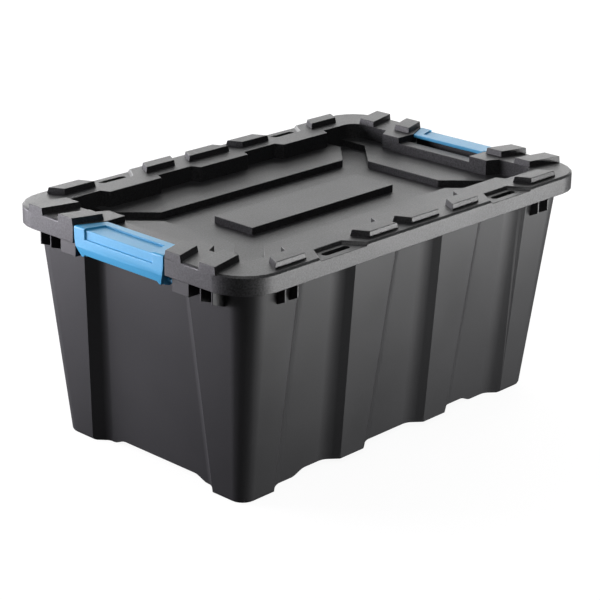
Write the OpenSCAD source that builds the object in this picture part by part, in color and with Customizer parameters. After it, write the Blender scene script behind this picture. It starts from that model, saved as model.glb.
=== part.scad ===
// Heavy-duty storage tote: a drafted tub with corner columns and pilasters, a lift-off lid
// with a sunk pan, and two swing latches that hook over the lid's short ends.
// Millimetres, +Z up, origin on the ground under the middle of the base, X along the length.

/* [Tub] */
// Length over the corner feet at the ground
base_length = 586; // [480:1:640]
// Width over the corner feet at the ground
base_width = 344; // [280:1:400]
// Height from the ground to the top of the rim
tub_height = 321; // [240:1:420]
// Thickness of the tub's walls and floor
tub_wall = 3; // [2:0.1:4]
// Corner radius at the ground
base_radius = 20; // [12:1:30]
// Corner radius at the rim
top_radius = 34; // [20:1:50]
// Rounding of the bottom edge
foot_radius = 4; // [2:0.5:6]

/* [Columns and pilasters] */
// Depth of the recesses between the columns and pilasters
recess_depth = 15.5; // [10:0.5:20]
// Run of the slanted side walls of a recess
recess_run = 18; // [12:0.5:24]
// Width of a corner column along the long side, at the ground
side_column_base = 57; // [45:1:70]
// Width of a corner column along the long side, at the rim
side_column_top = 91; // [70:1:100]
// Width of a corner column along the short end, at the ground
end_column_base = 54.5; // [45:0.5:70]
// Width of a corner column along the short end, at the rim
end_column_top = 112; // [104:1:140]
// Distance between the two pilasters of a long side, centre to centre
pilaster_pitch = 172; // [160:1:195]
// Width of a pilaster at the ground
pilaster_base = 47; // [28:1:55]
// Width of a pilaster at the rim
pilaster_top = 80; // [50:1:88]

/* [Feet] */
// Length of a corner foot along the long side
foot_length = 106; // [80:1:120]
// Length of a corner foot along the short end
foot_width = 80; // [60:1:95]
// Height of the base between the feet
foot_rise = 7.5; // [4:0.5:14]
// Run of the curve from a foot up to the raised base
foot_run = 24; // [14:1:36]

/* [Rim] */
// Width of the rim flange on the short ends
end_flange = 18; // [16:0.5:22]
// Width of the rim flange on the long sides
side_flange = 10; // [8:0.5:14]
// Height of the turned-down lip around the rim
lip_height = 12; // [6:0.5:13]
// Thickness of the lip and of the ribs under the rim
rib_wall = 2.6; // [2:0.1:4]
// How far the ribs' outer ends reach below the lid's skirt
rib_drop = 21; // [10:0.5:30]
// How much lower the ribs' inner ends are
rib_slope = 11; // [0:0.5:14]
// First rib on a long side, from the middle of the tote
side_rib_place = 242; // [236:1:252]
// Distance between the two ribs of a long side at a corner
side_rib_pitch = 22; // [14:1:26]
// First rib on a short end, from the middle of the tote
end_rib_place = 140; // [130:1:146]
// Distance between the two ribs of a short end at a corner
end_rib_pitch = 20; // [14:1:26]

/* [Lid] */
// Length over the lid's skirt
lid_length = 690; // [680:1:710]
// Width over the lid's skirt
lid_width = 449; // [440:1:460]
// Corner radius of the lid
lid_radius = 56; // [44:1:66]
// Thickness of the lid's walls
lid_wall = 3; // [2:0.1:3.5]
// Height of the skirt
skirt_height = 25.3; // [20:0.1:30]
// Gap between the skirt and the rim's lip
skirt_gap = 4; // [2:0.5:6]
// Gap between the seated lid and the rim
seat_gap = 0.2; // [0.1:0.1:1]
// Chamfer along the top edge of the skirt
lid_chamfer = 2.6; // [1:0.1:4]
// Depth of the pan's floor below the band
pan_depth = 32.3; // [26:0.1:36]
// Height of the raised panels above the pan's floor
panel_rise = 10.2; // [5:0.1:14]
// Width of the band along the long sides
side_band = 51.5; // [46:0.5:56]
// Width of the band along the short ends
end_band = 55; // [50:0.5:60]
// How far the bosses stand out of the band's inner wall on the long sides
boss_depth = 13; // [6:0.5:20]
// Run of the slanted ends of those bosses
boss_run = 6; // [4:0.5:14]
// Length of the boss in the middle of a long side
middle_boss = 94; // [70:1:110]
// Length of the bosses behind the slots
slot_boss = 94; // [70:1:110]
// Corner radius of the pan
pan_radius = 22; // [10:1:30]
// Width of the blocks beside a latch
block_width = 32; // [24:1:38]
// Run of a block's slanted outer side
block_run = 9; // [4:0.5:14]
// Length of a side panel's inner edge
side_panel_length = 363; // [320:1:400]
// Depth of a side panel from the band's inner wall
side_panel_depth = 76.5; // [56:0.5:90]
// Width of an end panel's inner edge
end_panel_width = 134; // [110:1:160]
// Depth of an end panel from the band's inner wall
end_panel_depth = 86; // [70:0.5:110]
// Width of an end panel's strip along the band's inner wall
end_strip = 26; // [22:0.5:34]
// Width of the channel between a side panel and that strip
channel_width = 32; // [24:0.5:40]
// Length of the middle panel
middle_panel_length = 282; // [220:1:330]
// Width of the middle panel
middle_panel_width = 72; // [50:1:100]

/* [Lugs and slots] */
// Height of the lugs above the band
lug_height = 8.1; // [4:0.1:12]
// How far a lug's top draws in on each side
lug_draft = 1.6; // [0.5:0.1:3]
// Outer length of a lug on the long sides
side_lug = 56; // [40:1:64]
// Depth of a lug on the long sides
side_lug_depth = 24; // [16:0.5:28]
// Distance of the long-side lugs from the skirt's face
side_lug_inset = 10; // [6:0.5:14]
// Slant of a lug's ends across its depth
lug_slant = 13; // [4:0.5:18]
// Distance between the lugs on either side of the middle one, centre to centre
inner_lug_pitch = 164; // [156:1:176]
// Distance between the lugs at the two ends of a long side, centre to centre
outer_lug_pitch = 509; // [500:1:516]
// Width of a lug on the short ends
end_lug = 30; // [20:1:34]
// Depth of the lugs next to a latch
end_lug_depth = 43; // [30:1:48]
// Distance between the two lugs on one side of a latch, centre to centre
end_lug_pitch = 60; // [48:1:64]
// Distance between the strap slots of a long side, centre to centre
slot_pitch = 338; // [320:1:350]
// Length of a strap slot
slot_length = 48; // [30:1:54]
// Width of a strap slot
slot_width = 10.5; // [6:0.5:11]
// Distance of a strap slot's centre line from the skirt's face
slot_inset = 15; // [14:0.5:16]
// Depth of the notch around a strap slot
notch_depth = 4.4; // [3:0.1:6]
// Depth of that notch's floor from the skirt's face
notch_reach = 26; // [23:0.5:30]
// How far that notch's walls lean out from its floor up to the band
notch_lean = 3; // [1:0.5:4]
// Flare of that notch on each side
notch_flare = 18; // [10:0.5:20]

/* [Latches] */
// Width of a latch across its front
latch_width = 168; // [156:1:172]
// Width of a latch's hook at its free edge
hook_width = 130; // [110:1:136]
// Length of the hook from the latch's front
hook_length = 41; // [36:0.5:44]
// Thickness of a latch's walls
latch_wall = 5; // [4:0.1:6]
// Depth of the sunk grip panel on a latch
grip_depth = 2.5; // [1:0.1:3]
// Border around the grip panel
grip_border = 12.5; // [8:0.5:16]
// Height of the grip panel on the latch's front
grip_height = 15; // [8:0.5:20]
// How far a latch hangs below the lid's skirt
latch_drop = 16.3; // [14:0.1:19]
// How far the bottom of a latch's front leans in
latch_lean = 4.5; // [2:0.5:5]
// Height of a latch's rounded lower corners
latch_corner = 25; // [18:0.5:27]
// How far a latch narrows on each side over those corners
latch_taper = 9; // [6:0.5:10]
// Rise of a latch's bottom edge between its ears
ear_rise = 3.5; // [2:0.5:5]
// Gap between a latch and the lid's notch around it
latch_gap = 2; // [1:0.1:3]
// Play between the hook and the lid's ridge
hook_play = 1; // [0.8:0.1:2]
// Radius of a trunnion
pin_radius = 4; // [3:0.1:5]
// Radial running clearance of a trunnion in its socket
pin_clearance = 0.06; // [0.02:0.01:0.1]
// Length of a trunnion
pin_length = 6; // [4:0.5:8]
// Depth of a trunnion's socket
socket_depth = 7; // [6.5:0.5:9]
// Wall around a trunnion's socket
socket_wall = 3.5; // [3:0.1:4.5]
// Radius of the round knuckle behind a trunnion
knuckle_radius = 8; // [7:0.1:9]
// Height of the web between a knuckle and the latch's front
web_height = 12.8; // [10:0.1:13.5]
// Gap between a knuckle and the level of the lid's skirt
knuckle_gap = 1.3; // [1:0.1:2]
// Thickness of a latch's cheek
cheek_wall = 12; // [8:0.5:14]
// How far a cheek lies inside the edge of its latch
cheek_inset = 4; // [2:0.5:6]
// Width of a bracket
bracket_width = 30; // [26:0.5:36]
// Gap between a latch and the brackets on either side of it
bracket_gap = 7; // [3:0.5:8]
// How far a bracket's face lies behind the rim's
bracket_inset = 1; // [0.5:0.1:2]
// Wall of a bracket below a trunnion's socket
bracket_foot = 8.5; // [3:0.5:10]
// Gap between the finger trough and the lowered rim
seat_clear = 1; // [0.6:0.1:2]
// Rounding of a latch's long edges
latch_bevel = 2; // [1:0.1:3]
// Depth of the finger trough under the hook
trough_depth = 12; // [11:0.5:13]
// Width of the lid's ridge under the hook
ridge_width = 6; // [4:0.5:7]
// Distance of the ridge from the hook's free edge
ridge_inset = 8; // [6:0.5:9]
// Width of the shelf inside the finger trough
shelf_width = 20; // [12:0.5:24]
// Depth of the shelf below the band
shelf_depth = 8.6; // [6:0.1:11]

/* [Hidden] */
arc_steps = 6;
curve_steps = 6;
// Reach of a cut past the face that it opens
beyond = 10;
charcoal = [0.16, 0.16, 0.17];
blue = [0.33, 0.66, 0.93];

// Levels
notch_floor_z = tub_height + seat_gap + lid_wall;
band_z = notch_floor_z + notch_depth;
lug_z = band_z + lug_height;
skirt_z = band_z - skirt_height;
pan_z = band_z - pan_depth;
panel_z = pan_z + panel_rise;
rib_z = skirt_z - rib_drop;

// Half sizes in plan
lid_x = lid_length / 2;
lid_y = lid_width / 2;
rim_inset = lid_wall + skirt_gap;
rim_x = lid_x - rim_inset;
rim_y = lid_y - rim_inset;
rim_radius = lid_radius - rim_inset;
top_x = rim_x - end_flange;
top_y = rim_y - side_flange;
base_x = base_length / 2;
base_y = base_width / 2;
pan_x = lid_x - end_band;
pan_y = lid_y - side_band;
under_band = 2 * lid_wall + 1;

// Hook, ridge, trough and shelf at the +X end
latch_x = lid_x;
hook_x = latch_x - hook_length;
hook_z = band_z - latch_wall;
hook_half = hook_width / 2 + latch_gap;
notch_half = latch_width / 2 + latch_gap;
ridge_x = hook_x + ridge_inset;
ridge_z = hook_z - hook_play;
trough_x = latch_x - latch_wall - latch_gap;
trough_z = hook_z - trough_depth;
step_x = ridge_x - shelf_width;
shelf_z = band_z - shelf_depth;
block_x = step_x - shelf_width;

// Lowered stretch of rim behind a latch, clear of the trough
dip_z = trough_z - lid_wall - seat_clear;
dip_half = notch_half + lid_wall + seat_clear;

// Trunnions, brackets and the lower edge of a latch
pivot_x = rim_x - pin_radius - socket_wall;
pivot_z = skirt_z - knuckle_radius - knuckle_gap;
bracket_x = rim_x - bracket_inset;
bracket_z = pivot_z - pin_radius - bracket_foot;
bracket_half = latch_width / 2 + bracket_gap;
cheek_half = latch_width / 2 - cheek_inset;
latch_z = skirt_z - latch_drop;
lean_z = skirt_z - latch_bevel;

// Linear blend from the ground to the rim
function blend(a, b, z) = a + (b - a) * z / tub_height;

function unit(v) = v / norm(v);
function left_of(v) = [-v.y, v.x];

// Moves every edge of a counter-clockwise outline inwards by d
function inset(pts, d) = let (n = len(pts)) [
    for (i = [0 : n - 1])
        let (a = left_of(unit(pts[i] - pts[(i + n - 1) % n])),
             b = left_of(unit(pts[(i + 1) % n] - pts[i])))
        pts[i] + d * (a + b) / (1 + a * b)
];

// Rounded corner of a rectangle in the +X +Y quarter
function corner(x, y, r) = [
    for (k = [0 : arc_steps]) let (t = 90 * k / arc_steps) [x - r + r * cos(t), y - r + r * sin(t)]
];

// Whole counter-clockwise outline from its +X +Y quarter
function four_ways(quarter) =
    let (back = [for (i = [len(quarter) - 1 : -1 : 0]) quarter[i]])
    concat(quarter, [for (p = back) [-p.x, p.y]], [for (p = quarter) -p], [for (p = back) [p.x, -p.y]]);

function rounded_box(x, y, r) = four_ways(corner(x, y, r));

// Curve from a to c that bends towards b
function bend(a, b, c) = [
    for (k = [0 : curve_steps]) let (s = k / curve_steps)
        a * (1 - s) * (1 - s) + b * 2 * s * (1 - s) + c * s * s
];

// Smooth step over s from 0 to 1
function smooth(s) = s * s * (3 - 2 * s);

function ring(pts, z) = [for (p = pts) [p.x, p.y, z]];

// Solid through a stack of convex outlines of equal length, given as rings of 3-D points
module loft(rings) {
    n = len(rings[0]);
    last = (len(rings) - 1) * n;
    polyhedron(
        points = [for (r = rings) each r],
        faces = concat(
            [[for (i = [0 : n - 1]) i]],
            [for (k = [0 : len(rings) - 2]) for (i = [0 : n - 1]) let (j = (i + 1) % n)
                [k * n + i, (k + 1) * n + i, (k + 1) * n + j, k * n + j]],
            [[for (i = [n - 1 : -1 : 0]) last + i]]
        ),
        convexity = 4
    );
}

module prism(pts, from, to) translate([0, 0, from]) linear_extrude(to - from) polygon(pts);

module box(from, to) translate(from) cube(to - from);

// Both short ends, or both long sides, of what is drawn at +X or +Y
module both_ends() for (s = [0, 1]) mirror([s, 0, 0]) children();
module both_sides() for (s = [0, 1]) mirror([0, s, 0]) children();

// Outline in X and Z, carried along Y
module along_y(pts, from, to)
    translate([0, to, 0]) rotate([90, 0, 0]) linear_extrude(to - from) polygon(pts);

// Outline in Y and Z, carried along X
module along_x(pts, from, to)
    translate([from, 0, 0]) rotate([90, 0, 90]) linear_extrude(to - from) polygon(pts);

// Round bar along +Y
module bar(r, x, y, z, length) translate([x, y, z]) rotate([-90, 0, 0]) cylinder(r = r, h = length, $fn = 48);

// Plain drafted form of the tub at height z, d inside its outer face
function tub_outline(z, d) = rounded_box(
    blend(base_x, top_x, z) - d, blend(base_y, top_y, z) - d, blend(base_radius, top_radius, z) - d
);

// Plan of one recess in a face that looks towards +Y
function recess(from, to, y) = [
    [to, y + beyond], [from, y + beyond], [from, y],
    [from + recess_run, y - recess_depth], [to - recess_run, y - recess_depth], [to, y]
];
function middle_recess(z) =
    let (half = (pilaster_pitch - blend(pilaster_base, pilaster_top, z)) / 2)
    recess(-half, half, blend(base_y, top_y, z));
function outer_recess(z) = recess(
    (pilaster_pitch + blend(pilaster_base, pilaster_top, z)) / 2,
    blend(base_x - side_column_base, top_x - side_column_top, z),
    blend(base_y, top_y, z)
);
function end_recess(z) =
    let (half = blend(base_y - end_column_base, top_y - end_column_top, z))
    [for (p = recess(-half, half, blend(base_x, top_x, z))) [p.y, -p.x]];

// Recesses between the columns and pilasters, grown by d
module recesses(d) {
    levels = [-beyond, tub_height + beyond];
    both_sides() {
        loft([for (z = levels) ring(inset(middle_recess(z), -d), z)]);
        both_ends() loft([for (z = levels) ring(inset(outer_recess(z), -d), z)]);
    }
    both_ends() loft([for (z = levels) ring(inset(end_recess(z), -d), z)]);
}

// Tunnel under the base between two feet, raised and widened by d
function arch(half, d) =
    let (side = [for (k = [0 : curve_steps]) let (s = k / curve_steps)
                 [half + d - foot_run * s, d + foot_rise * smooth(s)]],
         right = concat([[half + d, -foot_rise]], side))
    concat(right, [for (i = [len(right) - 1 : -1 : 0]) [-right[i].x, right[i].y]]);
module arches(d) {
    along_y(arch(base_x - foot_length, d), -lid_y, lid_y);
    along_x(arch(base_y - foot_width, d), -lid_x, lid_x);
}

// Outside of the tub without its rim
module tub_body() difference() {
    loft(concat(
        [for (t = [0 : 45 : 90]) let (z = foot_radius * (1 - cos(t)))
            ring(tub_outline(z, foot_radius * (1 - sin(t))), z)],
        [ring(tub_outline(tub_height, 0), tub_height - tub_wall / 2)]
    ));
    recesses(0);
    arches(0);
}

// Space inside the tub
module tub_space() difference() {
    loft([for (z = [tub_wall, tub_height + beyond / 2]) ring(tub_outline(z, tub_wall), z)]);
    recesses(tub_wall);
    arches(tub_wall);
}

// Flange and turned-down lip around the mouth
module rim() difference() {
    outer = rounded_box(rim_x, rim_y, rim_radius);
    low = tub_height - lip_height;
    prism(outer, low, tub_height);
    prism(inset(outer, rib_wall), low - 1, tub_height - tub_wall);
}

// Outline of a rib under the rim from its end in the wall to its end in the lip
function rib(inner, outer) = let (top = tub_height - tub_wall / 2)
    [[inner, rib_z - rib_slope], [outer, rib_z], [outer, top], [inner, top]];

// Pairs of ribs under the rim beside every corner
module rim_ribs() both_ends() both_sides() for (k = [0, 1]) {
    x = side_rib_place + k * side_rib_pitch;
    along_x(rib(top_y - recess_depth, rim_y - rib_wall / 2), x, x + rib_wall);
    y = end_rib_place + k * end_rib_pitch;
    along_y(rib(top_x - recess_depth, rim_x - rib_wall / 2), y, y + rib_wall);
}

// Floor and side walls of the lowered stretch of rim, and the brackets that hold a latch's trunnions
module latch_seat() both_ends() {
    inner = top_x - recess_depth - tub_wall;
    top = tub_height - tub_wall / 2;
    side = dip_half + tub_wall;
    far = bracket_half + bracket_width;
    box([inner, -side, dip_z - tub_wall], [bracket_x, side, dip_z + tub_wall]);
    both_sides() {
        box([inner, dip_half - tub_wall, dip_z - tub_wall / 2], [rim_x - rib_wall / 2, side, top]);
        difference() {
            box([inner, bracket_half, bracket_z], [bracket_x, far, dip_z + tub_wall]);
            box([inner - 1, bracket_half + socket_depth, bracket_z - 1],
                [bracket_x - tub_wall, far - tub_wall, dip_z - tub_wall / 2]);
        }
    }
}

// Four upright strap slots, as cuts
module strap_slots(from, to) both_ends() both_sides()
    translate([slot_pitch / 2, lid_y - slot_inset, from]) {
        reach = (slot_length - slot_width) / 2;
        translate([-reach, -slot_width / 2, 0]) cube([2 * reach, slot_width, to - from]);
        for (s = [-1, 1]) translate([s * reach, 0, 0]) cylinder(r = slot_width / 2, h = to - from, $fn = 32);
    }

module tub() color(charcoal) difference() {
    union() {
        tub_body();
        rim();
        rim_ribs();
        latch_seat();
    }
    tub_space();
    both_ends() {
        box([block_x, -dip_half, dip_z], [lid_x, dip_half, tub_height + 1]);
        both_sides() bar(pin_radius + pin_clearance, pivot_x, bracket_half - 1, pivot_z, socket_depth + 2);
    }
    strap_slots(tub_height - tub_wall - 1, tub_height + 1);
}

// Outline of the lid's sunk pan, with the bosses on its long sides and the blocks beside the latches
function pan_outline() =
    let (tip = pan_y - boss_depth, slot = slot_pitch / 2, block = hook_half + block_width)
    four_ways(concat(
        [[block_x, block], [pan_x, block + block_run]],
        corner(pan_x, pan_y, pan_radius),
        [
            [slot + slot_boss / 2 + boss_run, pan_y],
            [slot + slot_boss / 2, tip],
            [slot - slot_boss / 2, tip],
            [slot - slot_boss / 2 - boss_run, pan_y],
            [middle_boss / 2 + boss_run, pan_y],
            [middle_boss / 2, tip]
        ]
    ));

// Raised panels in the pan, where those at the sides and ends run on under the band
function side_panel() =
    let (x = side_panel_length / 2, y = pan_y - side_panel_depth, far = pan_x - end_strip - channel_width,
         out = pan_y + under_band)
    [[-x, y], [x, y], [far, y + far - x], [far, out], [-far, out], [-far, y + far - x]];
function end_panel() =
    let (x = pan_x - end_panel_depth, y = end_panel_width / 2, far = pan_x - end_strip,
         out = pan_x + under_band, side = pan_y + under_band)
    [[x, -y], [far, x - far - y], [far, -side], [out, -side],
     [out, side], [far, side], [far, y + far - x], [x, y]];
function middle_panel() =
    let (x = middle_panel_length / 2, y = middle_panel_width / 2)
    [[-x, -y], [x, -y], [x, y], [-x, y]];

// Solid whose top is the lid's top side. With d it is the same form, d further in and d lower.
module lid_form(d) {
    low = pan_z - lid_wall - 1 - d;
    outer = rounded_box(lid_x, lid_y, lid_radius);
    shift = lid_chamfer + d * tan(45 / 2);
    difference() {
        loft([
            ring(inset(outer, d), low),
            ring(inset(outer, d), band_z - shift),
            ring(inset(outer, shift), band_z - d)
        ]);
        prism(inset(pan_outline(), -d), pan_z - d, lug_z);
        both_ends() latch_room(d);
        both_ends() both_sides() slot_notch(d);
    }
    prism(inset(middle_panel(), d), low, panel_z - d);
    both_ends() prism(inset(end_panel(), d), low, panel_z - d);
    both_sides() prism(inset(side_panel(), d), low, panel_z - d);
}

// Plan of the room for a latch at the +X end: straight beside the blocks, then flaring to the front
function latch_notch(from) = [
    [from, -hook_half], [hook_x, -hook_half], [latch_x, -notch_half], [latch_x + beyond, -notch_half],
    [latch_x + beyond, notch_half], [latch_x, notch_half], [hook_x, hook_half], [from, hook_half]
];

// Room for a latch: the shelf, the finger trough, and the gap for the latch's front
module latch_room(d) {
    prism(inset(latch_notch(block_x - 1), -d), shelf_z - d, lug_z);
    prism(inset(latch_notch(step_x), -d), trough_z - d, lug_z);
    box([trough_x - d, -notch_half - d, 0], [lid_x + beyond, notch_half + d, lug_z]);
}

// Plan of the notch around a strap slot at height z, wider at the skirt, with leaning walls
function notch_plan(z) =
    let (half = slot_length / 2, wide = half + notch_flare, y = lid_y - notch_reach, out = lid_y + beyond,
         lean = notch_lean * (z - notch_floor_z) / notch_depth,
         plan = [[-half, y], [half, y], [wide, lid_y], [wide, out], [-wide, out], [-wide, lid_y]])
    inset([for (p = plan) p + [slot_pitch / 2, 0]], -lean);
module slot_notch(d)
    loft([for (z = [notch_floor_z, lug_z]) ring(inset(notch_plan(z), -d), z - d)]);

// Block with drafted sides, from inside the band up
module lug(foot, top) loft([ring(foot, band_z - (lid_chamfer + lid_wall) / 2), ring(top, lug_z)]);

// Lug on the +Y long side whose ends shift by a and b over its depth
module side_lug(middle, a, b) {
    y = lid_y - side_lug_inset;
    inner = y - side_lug_depth;
    half = side_lug / 2;
    foot = [[middle + half, y], [middle - half, y], [middle - half + a, inner], [middle + half + b, inner]];
    lug(foot, inset(foot, lug_draft));
}

// Lug on the +X end, flush with the skirt in front
module end_lug(middle, depth) {
    half = end_lug / 2;
    x = lid_x - depth;
    d = lug_draft;
    foot = [[x, middle - half - lug_slant], [lid_x, middle - half], [lid_x, middle + half],
            [x, middle + half - lug_slant]];
    lug(foot, [foot[0] + [d, d], foot[1] + [0, d], foot[2] - [0, d], foot[3] + [d, -d]]);
}

module lugs() {
    both_sides() {
        side_lug(0, -lug_slant, lug_slant);
        both_ends() {
            side_lug(inner_lug_pitch / 2, lug_slant, lug_slant);
            side_lug(outer_lug_pitch / 2, -lug_slant, -lug_slant);
        }
    }
    both_ends() both_sides() {
        end_lug(notch_half + end_lug / 2, end_lug_depth);
        end_lug(notch_half + end_lug / 2 + end_lug_pitch, end_band);
    }
}

// Bead under the band that sits on the rim, left out behind the latches and below the notches' floors
module seat_bead() difference() {
    outer = rounded_box(rim_x - lid_wall, rim_y - lid_wall, rim_radius - lid_wall);
    prism(outer, tub_height + seat_gap, band_z - lid_wall / 2);
    prism(inset(outer, lid_wall), tub_height, band_z);
    both_ends() {
        box([block_x, -dip_half - lid_wall, 0], [lid_x, dip_half + lid_wall, lug_z]);
        both_sides() slot_notch(lid_wall / 2);
    }
}

// What is cut off the lid below its skirt, around the pan, and below the troughs
module lid_trim() {
    difference() {
        box([-lid_x - 1, -lid_y - 1, 0], [lid_x + 1, lid_y + 1, skirt_z]);
        prism(inset(pan_outline(), -2 * lid_wall), -1, skirt_z + 1);
    }
    both_ends() box([block_x + 2 * lid_wall, -dip_half, 0], [trough_x, dip_half, trough_z - lid_wall]);
}

module lid() color(charcoal) difference() {
    union() {
        difference() {
            lid_form(0);
            lid_form(lid_wall);
            lid_trim();
        }
        lugs();
        seat_bead();
        both_ends() box([ridge_x, -hook_width / 2, trough_z - lid_wall / 2],
                        [ridge_x + ridge_width, hook_width / 2, ridge_z]);
    }
    strap_slots(tub_height, band_z + 1);
}

// Outline of the +X latch seen from above
function latch_plan() = [
    [hook_x, -hook_width / 2], [latch_x, -latch_width / 2],
    [latch_x, latch_width / 2], [hook_x, hook_width / 2]
];

// Its outline seen from the side: the hook, the front and the lean of its lower edge
function latch_side() = [
    [hook_x, hook_z], [latch_x - latch_wall, hook_z], [latch_x - latch_wall, lean_z],
    [latch_x - latch_wall - latch_lean, latch_z], [latch_x - latch_lean, latch_z],
    [latch_x, lean_z], [latch_x, band_z - latch_bevel], [latch_x - latch_bevel, band_z], [hook_x, band_z]
];

// Its outline seen from the front, with an ear below each cheek
function latch_front() =
    let (half = latch_width / 2, foot = half - latch_taper, ear = cheek_half - cheek_wall,
         top = latch_z + latch_corner, middle = latch_z + latch_corner / 2,
         right = concat(
             [[ear, latch_z + ear_rise], [ear + ear_rise, latch_z]],
             bend([foot, latch_z], [half - latch_bevel, middle], [half, top]),
             [[half, band_z]]
         ))
    concat(right, [for (i = [len(right) - 1 : -1 : 0]) [-right[i].x, right[i].y]]);

// Sunk panel that wraps over the latch's top edge
module grip_panel() {
    inner = hook_x + grip_border;
    bottom = band_z - grip_height;
    face = latch_x - grip_depth;
    top = band_z - grip_depth;
    open = latch_plan() + [for (p = latch_plan()) [p.x > hook_x ? 2 * grip_border : 0, 0]];
    intersection() {
        along_y([[face, bottom], [latch_x + 1, bottom], [latch_x + 1, band_z + 1], [inner, band_z + 1],
                 [inner, top], [face, top]], -lid_y, lid_y);
        prism(inset(open, grip_border), 0, lug_z);
    }
}

// End cheek with its round knuckle
module cheek() {
    inner = cheek_half - cheek_wall;
    front = latch_x - latch_wall / 2;
    web = web_height / 2;
    along_y([
        [pivot_x, pivot_z - web], [front - latch_lean, pivot_z - web],
        [front - latch_lean / 2, pivot_z + web], [pivot_x, pivot_z + web]
    ], inner, cheek_half);
    bar(knuckle_radius, pivot_x, inner, pivot_z, cheek_wall);
}

// Latch at the +X end
module latch() color(blue) {
    difference() {
        intersection() {
            along_y(latch_side(), -lid_y, lid_y);
            along_x(latch_front(), 0, lid_x + beyond);
            prism(latch_plan(), 0, lug_z);
        }
        grip_panel();
    }
    both_sides() {
        cheek();
        bar(pin_radius, pivot_x, cheek_half - 1, pivot_z, bracket_half + pin_length - cheek_half + 1);
    }
}

module right_latch() latch();
module left_latch() mirror([1, 0, 0]) latch();

tub();
lid();
left_latch();
right_latch();
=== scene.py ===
import math
from collections import namedtuple

import bmesh
import bpy
import numpy as np
from mathutils import Matrix


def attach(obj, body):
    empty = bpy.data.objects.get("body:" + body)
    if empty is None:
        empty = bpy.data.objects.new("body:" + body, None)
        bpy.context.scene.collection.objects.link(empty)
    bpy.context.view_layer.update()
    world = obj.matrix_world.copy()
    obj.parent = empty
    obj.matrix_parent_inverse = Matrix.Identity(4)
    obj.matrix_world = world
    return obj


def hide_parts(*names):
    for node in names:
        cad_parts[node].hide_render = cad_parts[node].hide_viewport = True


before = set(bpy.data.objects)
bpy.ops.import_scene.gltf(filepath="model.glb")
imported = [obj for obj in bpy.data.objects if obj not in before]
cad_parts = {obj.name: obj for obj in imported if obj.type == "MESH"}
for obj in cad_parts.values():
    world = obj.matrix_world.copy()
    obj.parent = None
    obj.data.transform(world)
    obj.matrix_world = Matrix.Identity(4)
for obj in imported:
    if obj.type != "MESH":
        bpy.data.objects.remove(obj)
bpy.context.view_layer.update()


# Tub: one injection moulding in dark charcoal polypropylene, with columns, pilasters, feet and rim.
# The tool's edges are rounded, and its faces carry a fine spark-eroded grain.
SAME_POINT = 2e-6
SAME_PLANE = math.radians(0.3)
FOLDED = math.radians(18)
CRISP = math.radians(40)

Edges = namedtuple("Edges", "middle length rise fold higher")


def joined_solid(node):
    """A node's solid as a mesh whose loose triangles are merged and whose flat ones are one face."""
    shape = bmesh.new()
    shape.from_mesh(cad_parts[node].data)
    bmesh.ops.remove_doubles(shape, verts=shape.verts, dist=SAME_POINT)
    bmesh.ops.dissolve_limit(shape, angle_limit=SAME_PLANE, verts=shape.verts, edges=shape.edges)
    mesh = bpy.data.meshes.new(node + "_blank")
    shape.to_mesh(mesh)
    shape.free()
    return mesh


def read(items, field, width, kind=float):
    """One field of a mesh's items as an array with a row for each item."""
    flat = np.empty(len(items) * width, dtype=kind)
    items.foreach_get(field, flat)
    return flat.reshape(-1, width) if width > 1 else flat


def edges_of(mesh):
    """Middle, length, rise in z, fold and higher face of every edge, as arrays.

    The fold is the angle between the edge's two faces. It is above 0 on an outer edge, where the
    second face turns away from the first one's inner side, the first normal crossed with the edge's
    direction, and below 0 in a corner. The higher face is the greater z of the two normals.
    """
    pairs = read(mesh.edges, "vertices", 2, int)
    ends = read(mesh.vertices, "co", 3)[pairs]
    face_of_loop = np.repeat(np.arange(len(mesh.polygons)), read(mesh.polygons, "loop_total", 1, int))
    order = np.argsort(read(mesh.loops, "edge_index", 1, int), kind="stable")
    first, second = order[0::2], order[1::2]
    normals = read(mesh.polygons, "normal", 3)
    one, two = normals[face_of_loop[first]], normals[face_of_loop[second]]
    forward = pairs[:, 0] == read(mesh.loops, "vertex_index", 1, int)[first]
    along = np.where(forward[:, None], ends[:, 1] - ends[:, 0], ends[:, 0] - ends[:, 1])
    inner_side = np.cross(one, along)
    angle = np.arccos(np.clip((one * two).sum(1), -1, 1))
    outer = (inner_side * two).sum(1) < 0
    return Edges(middle=ends.sum(1) / 2, length=np.linalg.norm(along, axis=1), rise=np.abs(along[:, 2]),
                 fold=np.where(outer, angle, -angle), higher=np.maximum(one[:, 2], two[:, 2]))


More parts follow.
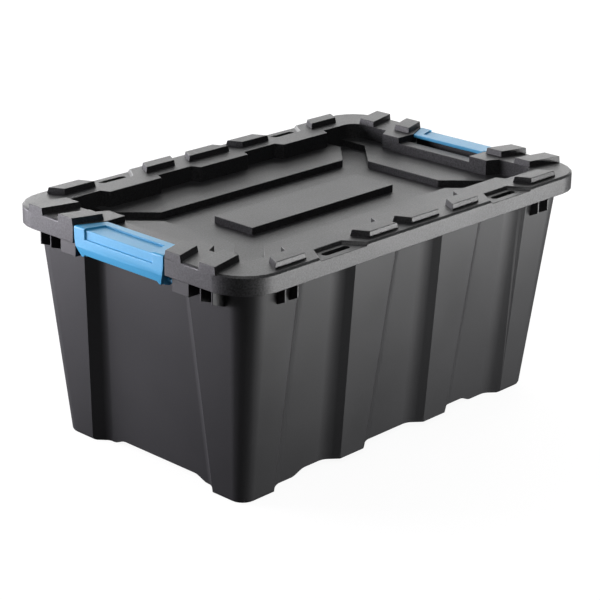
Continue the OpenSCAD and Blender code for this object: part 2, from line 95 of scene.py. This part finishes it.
def moulding(node, rounding, segments):
    """Copy of a node's solid with rounded edges.

    rounding gives how far each edge is rounded on both of its faces, from the arrays of edges_of,
    or 0 for an edge that stays as it is. On the result, an edge that folds more than CRISP is
    shaded as an edge, and all others are shaded as one surface.
    """
    mesh = joined_solid(node)
    edges = edges_of(mesh)
    widths = np.where(np.abs(edges.fold) > FOLDED, rounding(edges), 0)
    widest = widths.max()
    weights = mesh.attributes.new("bevel_weight_edge", "FLOAT", "EDGE")
    weights.data.foreach_set("value", (widths / widest).astype(np.float32))
    blank = bpy.data.objects.new(node + "_blank", mesh)
    bpy.context.collection.objects.link(blank)
    bevel = blank.modifiers.new("rounded_edges", "BEVEL")
    bevel.limit_method = "WEIGHT"
    bevel.width = widest
    bevel.segments = segments
    bevel.use_clamp_overlap = False
    rounded = bpy.data.meshes.new_from_object(blank.evaluated_get(bpy.context.evaluated_depsgraph_get()))
    bpy.data.objects.remove(blank)
    bpy.data.meshes.remove(mesh)
    rounded.name = node + "_moulding"
    crisp = rounded.attributes.new("sharp_edge", "BOOLEAN", "EDGE")
    crisp.data.foreach_set("value", np.abs(edges_of(rounded).fold) > CRISP)
    rounded.polygons.foreach_set("use_smooth", np.ones(len(rounded.polygons), dtype=bool))
    piece = bpy.data.objects.new(node + "_moulding", rounded)
    bpy.context.collection.objects.link(piece)
    faces = piece.modifiers.new("flat_faces", "WEIGHTED_NORMAL")
    faces.keep_sharp = True
    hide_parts(node)
    return piece


RECESS_CORNER = 0.011
END_CORNER = 0.007
SHORT_END_FROM = 0.25
COLUMN_EDGE = 0.0025
WALL_RISE = 0.2
TUB_EDGE = 0.0008
TUB_EDGE_SHORTEST = 0.004
FLANGE_UNDER = 0.318
FLANGE_UNDER_BAND = 0.0005


def tub_rounding(edges):
    """Wide in the upright corners of the recesses, tighter on the columns' and all other outer edges.

    The short ends' corners are less wide, so that they end beside the arches between the feet. The
    edges of the flange's underside stay as they are, because roundings there would meet.
    """
    outer = edges.fold > 0
    corner = np.where(np.abs(edges.middle[:, 0]) > SHORT_END_FROM, END_CORNER, RECESS_CORNER)
    under_flange = np.abs(edges.middle[:, 2] - FLANGE_UNDER) < FLANGE_UNDER_BAND
    small = np.where(outer & (edges.length > TUB_EDGE_SHORTEST) & ~under_flange, TUB_EDGE, 0)
    return np.where(edges.rise > WALL_RISE, np.where(outer, COLUMN_EDGE, corner), small)


tub = moulding("tub", tub_rounding, segments=4)
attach(tub, "tub")


class Signal:
    """One socket of a finish's node tree. Sums and products of signals add Math nodes."""

    def __init__(self, tree, socket=None):
        self.tree = tree
        self.socket = socket

    def node(self, kind, settings={}, sockets={}, output=0):
        """Adds a node, sets it up, fills its sockets with values or links, and gives one output."""
        made = self.tree.nodes.new(kind)
        for name, value in settings.items():
            setattr(made, name, value)
        for name, value in sockets.items():
            if isinstance(value, Signal):
                self.tree.links.new(value.socket, made.inputs[name])
            else:
                made.inputs[name].default_value = value
        return Signal(self.tree, made.outputs[output]) if made.outputs else None

    def other(self, output):
        """Another output of the node that this signal comes from."""
        return Signal(self.tree, self.socket.node.outputs[output])

    def maths(self, operation, *values):
        """Adds a Math node on signals and numbers."""
        return self.node("ShaderNodeMath", {"operation": operation}, dict(enumerate(values)))

    def __add__(self, other):
        return self.maths("ADD", self, other)

    def __sub__(self, other):
        return self.maths("SUBTRACT", self, other)

    def __rsub__(self, other):
        return self.maths("SUBTRACT", other, self)

    def __mul__(self, other):
        return self.maths("MULTIPLY", self, other)

    __radd__ = __add__
    __rmul__ = __mul__


def empty_tree(owner):
    """Start of the node tree of a material or world, with no node in it."""
    owner.use_nodes = True
    owner.node_tree.nodes.clear()
    return Signal(owner.node_tree)


def linear(red, green, blue):
    """Colour with its parts from 0 to 255, made a shader's linear colour by the sRGB curve."""
    parts = np.array([red, green, blue]) / 255
    parts = np.where(parts > 0.04045, ((parts + 0.055) / 1.055) ** 2.4, parts / 12.92)
    return (*parts.tolist(), 1.0)


GRAIN_CONTRAST = 2.4
CLOUD_CONTRAST = 0.4
PALE_FROM = 0.9
GLOSS_SPREAD = 0.12


def grained_plastic(name, colour, pale, roughness, depth, scale):
    """Moulded plastic: a fine grain of a depth and scale, and faint clouds in its colour and gloss.

    The paler colour's share is the sum of both noises, each times its contrast, less PALE_FROM.
    The roughness goes up and down with the clouds by half of GLOSS_SPREAD.
    """
    material = bpy.data.materials.new(name)
    base = empty_tree(material)
    place = base.node("ShaderNodeTexCoord", output="Object")
    grain = base.node("ShaderNodeTexNoise", sockets={"Vector": place, "Scale": scale, "Detail": 3.0})
    cloud = base.node("ShaderNodeTexNoise", sockets={"Vector": place, "Scale": 9.0, "Detail": 4.0})
    share = grain * GRAIN_CONTRAST + cloud * CLOUD_CONTRAST - PALE_FROM
    shade = base.node("ShaderNodeMix", {"data_type": "RGBA"}, {0: share, 6: colour, 7: pale}, output=2)
    gloss = cloud * GLOSS_SPREAD + (roughness - GLOSS_SPREAD / 2)
    bump = base.node("ShaderNodeBump", sockets={"Height": grain, "Distance": depth, "Strength": 0.6})
    surface = base.node("ShaderNodeBsdfPrincipled", sockets={
        "Base Color": shade, "Roughness": gloss, "Normal": bump})
    base.node("ShaderNodeOutputMaterial", sockets={"Surface": surface})
    return material


tub.data.materials.append(grained_plastic(
    "tub_charcoal", linear(31, 31, 32), linear(37, 37, 39), roughness=0.45, depth=0.0001, scale=650.0))


# Lid: one loose injection moulding in the same charcoal, with a stronger grain, that drops over the
# rim. Its skirt, band, lugs and panels have tight edges.
LID_EDGE = 0.0008
LID_EDGE_SHORTEST = 0.002
FACING_DOWN = -0.5
PAN_END = 0.29
PAN_END_BAND = 0.001
PAN_END_TOP = 0.33


def lid_rounding(edges):
    """A tight radius on the outer edges above the skirt's foot, none at the pan's ends beside the lugs."""
    at_pan_end = np.abs(np.abs(edges.middle[:, 0]) - PAN_END) < PAN_END_BAND
    left_sharp = at_pan_end & (edges.middle[:, 2] < PAN_END_TOP)
    shows = (edges.fold > 0) & (edges.length > LID_EDGE_SHORTEST) & (edges.higher > FACING_DOWN)
    return np.where(shows & ~left_sharp, LID_EDGE, 0)


lid = moulding("lid", lid_rounding, segments=3)
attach(lid, "lid")
lid.data.materials.append(grained_plastic(
    "lid_charcoal", linear(8, 8, 8), linear(54, 54, 56), roughness=0.48, depth=0.0003, scale=480.0))


# Latches: two alike in light blue polypropylene, one at each short end, each on two trunnions
# moulded on it that snap into the tub's brackets.
LATCH_EDGE = 0.0011
LATCH_EDGE_SHORTEST = 0.003


def latch_rounding(edges):
    """A soft radius on the outer edges."""
    return np.where((edges.fold > 0) & (edges.length > LATCH_EDGE_SHORTEST), LATCH_EDGE, 0)


latch_blue = grained_plastic(
    "latch_blue", linear(59, 153, 200), linear(67, 161, 207), roughness=0.46, depth=0.0001, scale=650.0)
for side in ("left", "right"):
    latch = moulding(side + "_latch", latch_rounding, segments=3)
    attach(latch, side + "_latch")
    latch.data.materials.append(latch_blue)


# Stage: a white paper floor that keeps the tote's soft shadow, under a plain white surround.
# The camera sees both as white, while the light on the tote comes from the soft boxes.
FLOOR_REACH = 12.0
FLOOR_COLOUR = (0.12, 0.12, 0.12, 1.0)
FLOOR_GLOW = 0.93
FLOOR_MIRRORED = 0.01
SKY = 0.03
SKY_MIRRORED = 0.01
WHITE = (1.0, 1.0, 1.0, 1.0)


def seen_glow(base, seen, mirrored):
    """Strength of a glow: one value for the camera's own rays, one for those that gloss or glass turns."""
    rays = base.node("ShaderNodeLightPath")
    turned = rays.other("Is Glossy Ray") + rays.other("Is Transmission Ray")
    return rays.other("Is Camera Ray") * seen + turned * mirrored


floor_mesh = bpy.data.meshes.new("floor")
floor_mesh.from_pydata([(-FLOOR_REACH, -FLOOR_REACH, 0), (FLOOR_REACH, -FLOOR_REACH, 0),
                        (FLOOR_REACH, FLOOR_REACH, 0), (-FLOOR_REACH, FLOOR_REACH, 0)], [], [(0, 1, 2, 3)])
floor = bpy.data.objects.new("floor", floor_mesh)
bpy.context.collection.objects.link(floor)
paper = bpy.data.materials.new("white_paper")
sheet = empty_tree(paper)
matt = sheet.node("ShaderNodeBsdfDiffuse", sockets={"Color": FLOOR_COLOUR})
glow = sheet.node("ShaderNodeEmission", sockets={
    "Color": WHITE, "Strength": seen_glow(sheet, FLOOR_GLOW, FLOOR_MIRRORED)})
sheet.node("ShaderNodeOutputMaterial", sockets={
    "Surface": sheet.node("ShaderNodeAddShader", sockets={0: matt, 1: glow})})
floor_mesh.materials.append(paper)

world = bpy.data.worlds.new("white_surround")
bpy.context.scene.world = world
around = empty_tree(world)
sky = around.node("ShaderNodeBackground", sockets={
    "Color": WHITE, "Strength": seen_glow(around, 1 - SKY, SKY_MIRRORED) + SKY})
around.node("ShaderNodeOutputWorld", sockets={"Surface": sky})


def soft_box(name, width, height, radiance, place, target, tint=(1.0, 1.0, 1.0)):
    """Studio light of a size, brightness and tint, at a place, facing a target. It isn't seen itself."""
    lamp = bpy.data.lights.new(name, "AREA")
    lamp.shape = "RECTANGLE"
    lamp.size = width
    lamp.size_y = height
    lamp.color = tint
    lamp.energy = math.pi * width * height * radiance
    light = bpy.data.objects.new(name, lamp)
    light.visible_camera = False
    bpy.context.collection.objects.link(light)
    away = np.array(place) - np.array(target)
    turn = math.atan2(away[0], -away[1])
    tilt = math.acos(away[2] / np.linalg.norm(away))
    light.matrix_world = (Matrix.Translation(place) @ Matrix.Rotation(turn, 4, "Z")
                          @ Matrix.Rotation(tilt, 4, "X"))


COOL = (0.95, 0.92, 1.0)
soft_box("high_back", 3.4, 1.0, 2.4, (1.5, 1.7, 2.2), (0, 0, 0.3))
soft_box("back_left", 1.7, 1.4, 5.6, (0.9, 2.9, 1.0), (0, 0, 0.4))
soft_box("back", 1.7, 1.4, 2.2, (2.0, 2.2, 1.0), (0, 0, 0.4))
soft_box("back_right", 1.7, 1.4, 3.5, (2.9, 1.0, 1.0), (0, 0, 0.4))
soft_box("left", 1.4, 1.0, 20.0, (-1.3, 1.9, 0.5), (0, 0.3, 0.3), COOL)
soft_box("low_left", 1.4, 0.3, 7.0, (-1.2, 1.7, 0.15), (0, 0.3, 0.15), COOL)
soft_box("near_left", 0.9, 0.34, 5.0, (-1.15, 0.95, 0.17), (0, 0.95, 0.17), COOL)
soft_box("low_right", 1.1, 0.14, 50.0, (0.8, -1.25, 0.07), (0.1, 0, 0.08))
soft_box("near_right", 0.5, 0.18, 9.0, (0.05, -0.95, 0.09), (0.05, 0, 0.09))
soft_box("high_front", 2.0, 1.0, 3.4, (-1.0, -0.9, 2.6), (0, 0, 0.2))


# Camera: at the photograph's place and angle, with its long lens. The lens is given by its focal
# length in pixels of the square picture.
PICTURE_PIXELS = 600
FOCAL_PIXELS = 1946.6
SENSOR = 36.0
CAMERA_PLACE = (-1.8724, -1.7474, 1.1086)
AZIMUTH = math.radians(-46.84)
ELEVATION = math.radians(20.34)
ROLL = math.radians(0.90)
lens = bpy.data.cameras.new("camera")
lens.sensor_width = SENSOR
lens.lens = FOCAL_PIXELS / PICTURE_PIXELS * SENSOR
camera = bpy.data.objects.new("camera", lens)
bpy.context.collection.objects.link(camera)
camera.matrix_world = (
    Matrix.Translation(CAMERA_PLACE) @ Matrix.Rotation(AZIMUTH, 4, "Z")
    @ Matrix.Rotation(math.pi / 2 - ELEVATION, 4, "X") @ Matrix.Rotation(ROLL, 4, "Z"))
bpy.context.scene.camera = camera
bpy.context.scene.view_settings.view_transform = "Standard"

bpy.context.view_layer.update()
